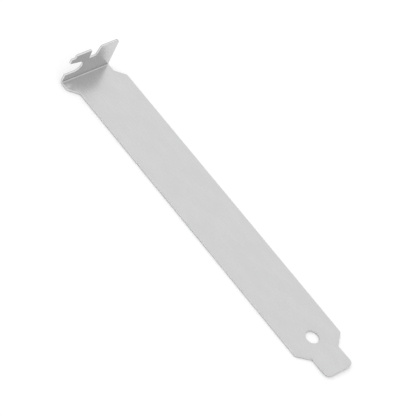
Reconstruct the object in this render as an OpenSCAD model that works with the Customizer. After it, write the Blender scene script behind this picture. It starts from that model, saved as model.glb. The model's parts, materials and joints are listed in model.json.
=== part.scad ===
// Expansion slot cover: one punched and folded steel sheet.
// The strip lies flat on its underside, and the screw tab stands up at its +Y end.
// Origin: on the underside, at the middle of the strip's width and of the overall length.

/* [Sheet] */
// Thickness of the sheet
sheet_t = 0.7; // [0.5:0.05:1.2]
// Inside radius of the right-angle fold under the tab
fold_r = 0.4; // [0.2:0.1:1.2]

/* [Strip] */
// From the tongue's tip to the outer face of the tab
overall_len = 120.02; // [90:0.01:140]
// Width of the long strip
strip_w = 18.42; // [15:0.01:22]
// Radius of the strip's punched corners
corner_r = 0.4; // [0.1:0.1:0.8]

/* [Foot and tongue] */
// Width of the tongue
tongue_w = 10.3; // [7:0.1:12]
// Length of the tongue below the foot's shoulders
tongue_len = 7; // [4:0.1:10]
// Radius of the tongue's tip corners
tip_r = 1.8; // [0.5:0.1:2.4]
// Angle by which the tongue is bent up from the strip
tongue_lift = 2.5; // [0:0.5:6]
// Length, along the strip, of the slanted shoulders beside the tongue
foot_slant = 3.4; // [2:0.1:6]
// Diameter of the round hole above the tongue
hole_d = 4.5; // [3:0.1:6]
// Distance of the hole's centre above the tongue's root
hole_rise = 6; // [4:0.1:12]

/* [Neck] */
// Sideways step of the neck and tab from the strip
jog = 3; // [1.5:0.1:4]
// Width of the neck and tab
tab_w = 18.42; // [17:0.01:20]
// Straight length of the neck below the tab's inner face
neck_len = 2.7; // [1.8:0.1:5]
// Length, along the strip, of the slanted shoulders under the neck
neck_slant = 3.1; // [2:0.1:5]

/* [Tab] */
// Height of the tab's top above the strip's underside
tab_h = 11.9; // [11.4:0.1:13]
// Radius of the ear's outer corner
ear_r = 1.2; // [0.4:0.1:2]
// Radius of the tab's small corners
tab_corner_r = 0.3; // [0.1:0.05:0.4]

/* [Screw slot] */
// Width of the screw slot
slot_w = 4.42; // [4.1:0.01:4.8]
// Depth of the slot from the tab's side edge
slot_deep = 6; // [5:0.1:6.6]
// Height of the slot's centre line above the strip's underside
slot_z = 5.9; // [5.2:0.1:6]
// Angle by which the slot's upper lip opens towards its mouth
lip_angle = 12; // [0:1:14]

/* [Finger, head and notch] */
// Height of the finger's top above the strip's underside
finger_top = 10.7; // [10.2:0.1:11]
// Width of the step beside the head
step_w = 1.6; // [1:0.1:2.4]
// Width of the head between the step and the notch
head_w = 5.95; // [5:0.05:6.4]
// Width of the notch at its open top
notch_w = 3.8; // [3:0.1:4.4]
// Width of the notch at its floor
notch_floor_w = 2.8; // [1.6:0.1:2.8]
// Height of the notch's floor above the strip's underside
notch_z = 8.2; // [7.5:0.1:9]
// Lean of the notch's side on the head
notch_lean = 0.25; // [0:0.05:0.6]

/* [Hidden] */
$fn = 96;
margin = 2;                                // how far a cutting prism runs past the sheet
corner_facets = 32;                        // facets that a full turn of a small corner would have
tip_y = -overall_len / 2;                  // tongue's tip
outer_y = overall_len / 2;                 // tab's outer face
seat_y = outer_y - sheet_t;                // tab's inner face, which seats on the case's ledge
root_y = tip_y + tongue_len;               // tongue's root
foot_y = root_y + foot_slant;              // upper end of the foot's slanted shoulders
hole_y = root_y + hole_rise;
neck_y = seat_y - neck_len;                // lower end of the straight neck
shoulder_y = neck_y - neck_slant;          // where the neck's shoulders meet the strip
tab_left = -strip_w / 2 - jog;
tab_right = tab_left + tab_w;
slot_end_x = tab_left + slot_deep - slot_w / 2;   // centre of the slot's round end
lip_rise = (slot_end_x - tab_left) * tan(lip_angle);
slot_low = slot_z - slot_w / 2;            // lower side of the slot
slot_high = slot_z + slot_w / 2;           // upper side of the slot, at its round end
lip_high = slot_high + lip_rise;           // upper side of the slot, at its mouth
head_left = tab_left + step_w;
head_right = head_left + head_w;
ear_left = head_right + notch_w;
notch_left = head_right + notch_lean;
notch_right = notch_left + notch_floor_w;

function unit(v) = v / norm(v);
function turned(v, a) = [v.x * cos(a) - v.y * sin(a), v.x * sin(a) + v.y * cos(a)];

// Points of the arc that rounds the corner at tip, between its two neighbours on the outline.
function corner_arc(before, tip, after, r) =
    let (u = unit(before - tip), v = unit(after - tip), half = acos(u * v) / 2,
         centre = tip + unit(u + v) * r / sin(half),
         start = tip + u * r / tan(half) - centre,
         sweep = sign(cross(v, u)) * (180 - 2 * half),
         steps = ceil(corner_facets * abs(sweep) / 360))
    [for (i = [0:steps]) centre + turned(start, sweep * i / steps)];

// An outline of [x, y, radius] corners, with each corner rounded by its own radius.
function rounded(corners) =
    let (n = len(corners), points = [for (c = corners) [c.x, c.y]])
    [for (i = [0:n - 1])
        each corners[i].z == 0 ? [points[i]]
            : corner_arc(points[(i + n - 1) % n], points[i], points[(i + 1) % n], corners[i].z)];

// What a round corner takes from a right angle at the origin, with its sides along +X and +Y.
module right_corner(r) {
    difference() {
        square(r);
        translate([r, r]) circle(r);
    }
}

// Flat outline of the neck, strip and tongue, seen from above.
module strip_outline() {
    side = strip_w / 2;
    tongue = tongue_w / 2;
    difference() {
        polygon(rounded([
            [-tongue, tip_y, 0], [tongue, tip_y, 0], [tongue, root_y, corner_r],
            [side, foot_y, corner_r], [side, shoulder_y, corner_r],
            [tab_right, neck_y, corner_r], [tab_right, outer_y + margin, 0],
            [tab_left, outer_y + margin, 0], [tab_left, neck_y, corner_r],
            [-side, shoulder_y, corner_r], [-side, foot_y, corner_r],
            [-tongue, root_y, corner_r]]));
        for (m = [0, 1]) mirror([m, 0]) translate([-tongue, tip_y]) right_corner(tip_r);
        translate([0, hole_y]) circle(d = hole_d);
    }
}

// Outline of the tab with its step, notch and open screw slot, seen from the strip's side.
module tab_outline() {
    difference() {
        polygon(rounded([
            [tab_left, 0, 0], [tab_right, 0, 0], [tab_right, tab_h, 0],
            [ear_left, tab_h, tab_corner_r], [notch_right, notch_z, tab_corner_r],
            [notch_left, notch_z, tab_corner_r], [head_right, tab_h, tab_corner_r],
            [head_left, tab_h, tab_corner_r], [head_left, finger_top, 0],
            [tab_left, finger_top, tab_corner_r], [tab_left, lip_high, tab_corner_r],
            [slot_end_x, slot_high, 0], [slot_end_x, slot_low, 0],
            [tab_left, slot_low, tab_corner_r]]));
        translate([tab_right, tab_h]) rotate(180) right_corner(ear_r);
        translate([slot_end_x, slot_z]) circle(d = slot_w);
    }
}

// Section along the strip: tongue, flat strip, fold and tab, one sheet thick throughout.
// The lifted tongue runs out past its tip and is mitred to the flat strip.
module fold_section() {
    run = tongue_len + margin;
    rise = run * tan(tongue_lift);
    mitre = sheet_t * tan(tongue_lift / 2);
    difference() {
        polygon([[root_y - run, rise], [root_y, 0], [outer_y, 0], [outer_y, tab_h],
                 [seat_y, tab_h], [seat_y, sheet_t], [root_y + mitre, sheet_t],
                 [root_y - run, rise + sheet_t / cos(tongue_lift)]]);
        translate([outer_y, 0]) mirror([1, 0]) right_corner(fold_r + sheet_t);
    }
    translate([seat_y, sheet_t]) mirror([1, 0]) right_corner(fold_r);
}

// The strip and its fold are cut to the flat outline, and then the tab to its own.
module slot_cover() {
    color("lightsteelblue")
    difference() {
        intersection() {
            translate([tab_left - margin, 0, 0]) rotate([90, 0, 90])
                linear_extrude(strip_w + tab_w + 2 * margin) fold_section();
            translate([0, 0, -margin]) linear_extrude(tab_h + 2 * margin) strip_outline();
        }
        translate([0, outer_y + margin, 0]) rotate([90, 0, 0])
            linear_extrude(sheet_t + 2 * margin)
                difference() {
                    translate([tab_left - margin, sheet_t + fold_r]) square([tab_w + 2 * margin, tab_h]);
                    tab_outline();
                }
    }
}

slot_cover();
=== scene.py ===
import bpy
import bmesh
import json
import math
from mathutils import Matrix, Vector


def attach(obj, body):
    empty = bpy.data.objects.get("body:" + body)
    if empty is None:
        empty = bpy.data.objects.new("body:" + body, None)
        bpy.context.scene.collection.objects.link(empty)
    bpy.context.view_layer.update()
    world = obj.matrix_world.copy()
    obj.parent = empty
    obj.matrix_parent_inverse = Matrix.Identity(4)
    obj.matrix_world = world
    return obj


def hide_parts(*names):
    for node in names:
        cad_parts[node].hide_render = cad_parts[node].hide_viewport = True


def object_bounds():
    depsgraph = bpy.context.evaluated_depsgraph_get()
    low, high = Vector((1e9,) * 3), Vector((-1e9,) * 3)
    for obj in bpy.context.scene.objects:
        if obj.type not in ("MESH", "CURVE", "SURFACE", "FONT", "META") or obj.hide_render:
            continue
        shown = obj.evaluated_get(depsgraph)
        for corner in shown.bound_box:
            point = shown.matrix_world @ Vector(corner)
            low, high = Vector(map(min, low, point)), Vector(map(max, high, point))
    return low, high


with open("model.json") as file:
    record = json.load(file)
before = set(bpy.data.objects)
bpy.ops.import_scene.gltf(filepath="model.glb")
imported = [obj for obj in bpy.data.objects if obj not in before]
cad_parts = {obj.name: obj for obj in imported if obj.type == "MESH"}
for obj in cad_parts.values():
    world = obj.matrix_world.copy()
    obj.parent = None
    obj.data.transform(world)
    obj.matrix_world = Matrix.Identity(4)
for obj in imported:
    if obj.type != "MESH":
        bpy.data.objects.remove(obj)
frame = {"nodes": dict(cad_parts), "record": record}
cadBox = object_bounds()
print("frame loaded:", ", ".join(sorted(frame["nodes"])))

perMetre = 1000              # mm in a metre: the sheet is worked out in mm

# The folded sheet. Its shape comes from the CAD node, and its edges are finished here.
sheet = {                    # sizes in mm, angles in degrees
    "thickness": 0.7,
    "foldRadius": 0.4,       # inside the fold under the tab
    "tongueLength": 7.0,
    "tongueWidth": 10.3,
    "tongueLift": 2.5,
    "tipRadius": 1.8,        # tongue's two tip corners
    "earRadius": 1.2,        # tab's one large corner
    "tabWidth": 18.42,
    "slotWidth": 4.42,
    "dieRoll": 0.13,         # rounding on the side where the punch went in
    "dieRollSteps": 4,
    "backEdge": 0.05,        # rounding on the other side
    "backEdgeSteps": 2,
    "arcStep": 5.0,          # most that a facet of a round edge turns
    "chordTurn": (0.6, 46),  # least and most that one of the node's own facets turns
    "weld": 0.004,           # points closer than this are one, or lie on an arc
    "flat": 0.3,             # neighbours that turn less than this are one face
    "wallLean": 0.42,        # cosine to the sheet's normal, below which a face is a cut wall
}
low, high = (corner * perMetre for corner in cadBox)
seatY = high.y - sheet["thickness"]                # tab's inner face
bendY = seatY - sheet["foldRadius"]                # axis of the fold
bendZ = sheet["thickness"] + sheet["foldRadius"]
rootY = low.y + sheet["tongueLength"]              # where the tongue is bent up


def mountOf(name):                                 # place in mm, and stated sizes
    mount = next(m for m in frame["record"]["mounts"] if m["name"] == name)
    return Vector(mount["pos_m"]) * perMetre, mount["dims"]


def placeInSheet(point):                           # depth below the inner face, length along, inner normal
    if point.y > bendY and point.z > bendZ:
        upTab = bendY + sheet["foldRadius"] * math.pi / 2 + point.z - bendZ
        return point.y - seatY, upTab, Vector((0, -1, 0))
    if point.y > bendY:
        out = Vector((0, point.y - bendY, point.z - bendZ))
        along = bendY + sheet["foldRadius"] * math.atan2(out.y, -out.z)
        return out.length - sheet["foldRadius"], along, -out.normalized()
    if point.y < rootY:
        lift = math.radians(sheet["tongueLift"])
        top = sheet["thickness"] + (rootY - point.y) * math.tan(lift)
        return (top - point.z) * math.cos(lift), point.y, Vector((0, math.sin(lift), math.cos(lift)))
    return sheet["thickness"] - point.z, point.y, Vector((0, 0, 1))


def roundEdges():                                  # centre, axis and radius of each round edge
    hole, holeDims = mountOf("foot_hole")
    slot, _ = mountOf("screw_slot")
    tip = sheet["tipRadius"]
    tipX = sheet["tongueWidth"] / 2 - tip
    ear = sheet["earRadius"]
    earX = low.x + sheet["tabWidth"] - ear
    fold = Vector((0, bendY, bendZ))
    return [
        (hole, "z", holeDims["r_mm"]),
        (slot, "y", sheet["slotWidth"] / 2),
        (Vector((earX, 0, high.z - ear)), "y", ear),
        (Vector((tipX, low.y + tip, 0)), "z", tip),
        (Vector((-tipX, low.y + tip, 0)), "z", tip),
        (fold, "x", sheet["foldRadius"]),
        (fold, "x", sheet["foldRadius"] + sheet["thickness"]),
    ]


def smoothArc(bm, centre, axis, radius):           # more facets, all on the true circle
    keep = Vector([0.0 if name == axis else 1.0 for name in "xyz"])
    least, most = sheet["chordTurn"]

    def spoke(vert):
        return (vert.co - centre) * keep

    def turn(edge):
        return math.degrees(spoke(edge.verts[0]).angle(spoke(edge.verts[1])))

    def onArc(vert):
        return abs(spoke(vert).length - radius) < sheet["weld"]

    chords = [e for e in bm.edges if all(onArc(v) for v in e.verts) and least < turn(e) < most]
    cuts = math.ceil(max(turn(e) for e in chords) / sheet["arcStep"]) - 1
    made = bmesh.ops.subdivide_edges(bm, edges=chords, cuts=cuts, use_grid_fill=True, use_only_quads=True)
    new = {item for item in made["geom_inner"] + made["geom_split"] if isinstance(item, bmesh.types.BMVert)}
    for vert in new:
        reach = spoke(vert)
        vert.co += reach * (radius / reach.length - 1)
    print(f"  arc of radius {radius:.2f}: {len(chords)} chords, {len(new)} new points")


def finishEdges(bm, side, width, steps):           # rounds the rim of the inner (1) or outer (-1) face
    def facing(face):                              # 1 inner face, -1 outer face, 0 cut wall
        lean = face.normal.dot(placeInSheet(face.calc_center_median())[2])
        return 0 if abs(lean) < sheet["wallLean"] else math.copysign(1, lean)

    rims = [e for e in bm.edges if len(e.link_faces) == 2
            and sorted(facing(f) * side for f in e.link_faces) == [0, 1]]
    bmesh.ops.bevel(bm, geom=rims, offset=width, offset_type="OFFSET", affect="EDGES",
                    segments=steps, profile=0.5, material=-1, clamp_overlap=False)
    print(f"  side {side}: {len(rims)} rim edges rounded")


def markSheet(mesh):                               # what the steel's finish follows, in mm
    mesh.uv_layers.new(name="rolled")
    for name in ("cut", "depth"):
        mesh.attributes.new(name, "FLOAT", "CORNER")
    uv = mesh.uv_layers["rolled"]
    cut = mesh.attributes["cut"]                   # 0 on a rolled face, 1 on a wall
    depth = mesh.attributes["depth"]               # 0 at the inner face, 1 at the outer one
    for face in mesh.polygons:
        facing = placeInSheet(face.center * perMetre)[2].dot(face.normal)
        for loop in face.loop_indices:
            point = mesh.vertices[mesh.loops[loop].vertex_index].co * perMetre
            below, along, _ = placeInSheet(point)
            uv.data[loop].uv = (point.x, along)
            cut.data[loop].value = 1 - abs(facing)
            depth.data[loop].value = min(1, max(0, below / sheet["thickness"]))


def buildCover(node):
    bm = bmesh.new()
    bm.from_mesh(frame["nodes"][node].data)
    bmesh.ops.scale(bm, vec=(perMetre, perMetre, perMetre), verts=bm.verts)
    bmesh.ops.remove_doubles(bm, verts=bm.verts, dist=sheet["weld"])
    bmesh.ops.dissolve_limit(bm, angle_limit=math.radians(sheet["flat"]), verts=bm.verts, edges=bm.edges)
    for centre, axis, radius in roundEdges():
        smoothArc(bm, centre, axis, radius)
    finishEdges(bm, 1, sheet["dieRoll"], sheet["dieRollSteps"])
    finishEdges(bm, -1, sheet["backEdge"], sheet["backEdgeSteps"])
    bmesh.ops.scale(bm, vec=(1 / perMetre, 1 / perMetre, 1 / perMetre), verts=bm.verts)
    mesh = bpy.data.meshes.new("slotCover")
    bm.to_mesh(mesh)
    bm.free()
    mesh.shade_smooth()
    markSheet(mesh)
    piece = bpy.data.objects.new("slotCover", mesh)
    bpy.context.scene.collection.objects.link(piece)
    weighted = piece.modifiers.new("evenShading", "WEIGHTED_NORMAL")
    weighted.mode = "FACE_AREA"
    weighted.weight = 100
    return piece


cover = buildCover("slot_cover")
print("sheet built:", len(cover.data.polygons), "faces")


class Wire:                                        # a socket that takes part in Python expressions
    def __init__(self, net, socket):
        self.net = net
        self.socket = socket

    def math(self, operation, *others):
        return self.net.add("ShaderNodeMath", dict(enumerate((self, *others))), operation=operation)

    def __add__(self, other):
        return self.math("ADD", other)

    def __sub__(self, other):
        return self.math("SUBTRACT", other)

    def __rsub__(self, other):
        return self * -1 + other

    def __mul__(self, other):
        return self.math("MULTIPLY", other)

    __radd__ = __add__
    __rmul__ = __mul__

    def ramp(self, start, end):                    # 0 at start to 1 at end, eased
        return self.net.add("ShaderNodeMapRange", {"Value": self, "From Min": start, "From Max": end},
                            interpolation_type="SMOOTHSTEP")


class Net:                                         # a node tree, and one way to add any node
    def __init__(self, tree):
        self.tree = tree

    def add(self, kind, values=None, output=0, **settings):
        node = self.tree.nodes.new(kind)
        for name, setting in settings.items():
            setattr(node, name, setting)
        for name, value in (values or {}).items():
            if isinstance(value, Wire):
                self.feed(node, name, value)
            else:
                node.inputs[name].default_value = value
        return Wire(self, node.outputs[output]) if len(node.outputs) else None

    def feed(self, node, name, wire):
        self.tree.links.new(wire.socket, node.inputs[name])


# Zinc-plated sheet: satin rolled faces, and punched edges with a burnished and a torn zone.
steel = {                    # patterns: scale per mm, detail, stretch across and along the strip
    "grain": (1, 3, (9.0, 0.12, 1)),               # fine rolling lines
    "streak": (5, 2, (1, 0.1, 1)),
    "cloud": (0.22, 2, (1, 0.5, 1)),
    "wander": (1.6, 2, (1, 1, 1)),
    "tearing": (7, 3, (1, 1, 1)),
    "face": 0.61,            # grey of the rolled faces
    "mottle": 0.03,          # how far it wanders
    "blue": 1.004,           # blue against that grey
    "faceRough": 0.27,
    "grainRough": 0.05,
    "cloudRough": 0.06,
    "grainDeep": 0.0003,     # mm
    "cutFrom": (0.55, 0.9),  # mark "cut" where a wall's finish starts, and where it is full
    "burnished": 0.75,
    "burnishedMottle": 0.08,
    "cutRough": 0.3,
    "tornFrom": (0.55, 0.67),                      # mark "depth" where tearing starts and is full
    "tornWander": 0.25,      # how far that line wanders
    "torn": 0.58,
    "tornMottle": 0.2,
    "tornRough": 0.5,
    "tornDeep": 0.01,        # mm
}


def plateMaterial():
    material = bpy.data.materials.new("platedSteel")
    material.use_nodes = True
    net = Net(material.node_tree)
    shader = material.node_tree.nodes["Principled BSDF"]
    rolled = net.add("ShaderNodeUVMap", uv_map="rolled")
    cut = net.add("ShaderNodeAttribute", output="Fac", attribute_name="cut").ramp(*steel["cutFrom"])
    depth = net.add("ShaderNodeAttribute", output="Fac", attribute_name="depth")

    def noise(name):                               # a pattern on the rolled sheet, around 0
        scale, detail, stretch = steel[name]
        spread = net.add("ShaderNodeVectorMath", {0: rolled, 1: stretch}, operation="MULTIPLY")
        return net.add("ShaderNodeTexNoise", {"Vector": spread, "Scale": scale, "Detail": detail}) - 0.5

    grain = noise("grain")
    cloud = noise("cloud")
    streak = noise("streak")
    torn = cut * (depth + noise("wander") * steel["tornWander"]).ramp(*steel["tornFrom"])
    burnished = cut - torn
    flat = 1 - cut
    level = (flat * (steel["face"] + cloud * (2 * steel["mottle"]) + streak * steel["mottle"])
             + burnished * (steel["burnished"] + streak * steel["burnishedMottle"])
             + torn * (steel["torn"] + grain * steel["tornMottle"]))
    colour = net.add("ShaderNodeCombineColor", {"Red": level, "Green": level, "Blue": level * steel["blue"]})
    rough = (flat * (steel["faceRough"] + grain * steel["grainRough"] + cloud * steel["cloudRough"])
             + burnished * steel["cutRough"] + torn * steel["tornRough"])
    relief = flat * grain * steel["grainDeep"] + torn * noise("tearing") * steel["tornDeep"]
    bump = net.add("ShaderNodeBump", {"Height": relief * (1 / perMetre), "Distance": 1.0, "Strength": 1.0})
    shader.inputs["Metallic"].default_value = 1
    net.feed(shader, "Base Color", colour)
    net.feed(shader, "Roughness", rough)
    net.feed(shader, "Normal", bump)
    return material


cover.data.materials.clear()
cover.data.materials.append(plateMaterial())
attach(cover, "root")
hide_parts("slot_cover")
print("sheet finished")

# The surroundings: a pale floor under a white tent
studio = {
    "floorSize": 3.0,        # m
    "floorDrop": 0.0002,     # m, how far the part stands clear of it
    "floorColour": 0.97,
    "floorGlow": 0.12,       # what the camera and reflections see on top of the lit colour
    "overhead": 1.02,        # light from the tent above
    "horizon": 0.5,          # and from low down
    "fullFrom": 0.62,        # height of a direction at which the tent is at its full light
    "tilt": 0.16,            # how much brighter it is behind the tab than before the tongue
}


def makeFloor():
    bm = bmesh.new()
    bmesh.ops.create_grid(bm, x_segments=1, y_segments=1, size=studio["floorSize"] / 2)
    bmesh.ops.translate(bm, verts=bm.verts, vec=(0, 0, cadBox[0].z - studio["floorDrop"]))
    mesh = bpy.data.meshes.new("floor")
    bm.to_mesh(mesh)
    bm.free()
    floor = bpy.data.objects.new("floor", mesh)
    bpy.context.scene.collection.objects.link(floor)
    material = bpy.data.materials.new("paleFloor")
    material.use_nodes = True
    net = Net(material.node_tree)
    material.node_tree.nodes.clear()
    shade = studio["floorColour"]
    matt = net.add("ShaderNodeBsdfDiffuse", {"Color": (shade, shade, shade, 1)})
    camera = net.add("ShaderNodeLightPath", output="Is Camera Ray")
    glossy = net.add("ShaderNodeLightPath", output="Is Glossy Ray")
    seen = camera.math("MAXIMUM", glossy)
    glow = net.add("ShaderNodeEmission", {"Strength": seen * studio["floorGlow"]})
    both = net.add("ShaderNodeAddShader", {0: matt, 1: glow})
    net.add("ShaderNodeOutputMaterial", {"Surface": both})
    mesh.materials.append(material)


def makeSky():                                     # a white tent, dimmer low down
    world = bpy.data.worlds.new("whiteTent")
    bpy.context.scene.world = world
    world.use_nodes = True
    net = Net(world.node_tree)
    way = net.add("ShaderNodeTexCoord", output="Generated")
    parts = net.add("ShaderNodeSeparateXYZ", {"Vector": way}).socket.node
    along = Wire(net, parts.outputs["Y"])
    up = Wire(net, parts.outputs["Z"])
    tent = (up.ramp(0, studio["fullFrom"]) * (studio["overhead"] - studio["horizon"])
            + studio["horizon"] + along * studio["tilt"])
    camera = net.add("ShaderNodeLightPath", output="Is Camera Ray")
    background = world.node_tree.nodes["Background"]
    background.inputs["Color"].default_value = (1, 1, 1, 1)
    net.feed(background, "Strength", tent * (1 - camera) + camera)


viewpoint = {
    "aim": (0.00039, 0.00292, 0.0007),             # m
    "azimuth": -62.5,                              # degrees, from -Y towards +X
    "elevation": 46.66,
    "roll": 29.76,
    "distance": 0.7584,                            # m
    "nearest": 0.01,                               # m
    "lens": 225.5,                                 # mm
    "sensor": 36,                                  # mm
}


def makeCamera():
    camera = bpy.data.objects.new("camera", bpy.data.cameras.new("camera"))
    bpy.context.scene.collection.objects.link(camera)
    turn, rise, roll = (math.radians(viewpoint[name]) for name in ("azimuth", "elevation", "roll"))
    back = Vector((math.sin(turn) * math.cos(rise), -math.cos(turn) * math.cos(rise), math.sin(rise)))
    level = (-back).to_track_quat("-Z", "Y").to_matrix().to_4x4()
    camera.matrix_world = (Matrix.Translation(Vector(viewpoint["aim"]) + back * viewpoint["distance"])
                           @ level @ Matrix.Rotation(roll, 4, "Z"))
    camera.data.lens = viewpoint["lens"]
    camera.data.sensor_width = viewpoint["sensor"]
    camera.data.clip_start = viewpoint["nearest"]
    bpy.context.scene.camera = camera


makeFloor()
makeSky()
makeCamera()
bpy.context.scene.view_settings.view_transform = "Standard"
print("studio ready")
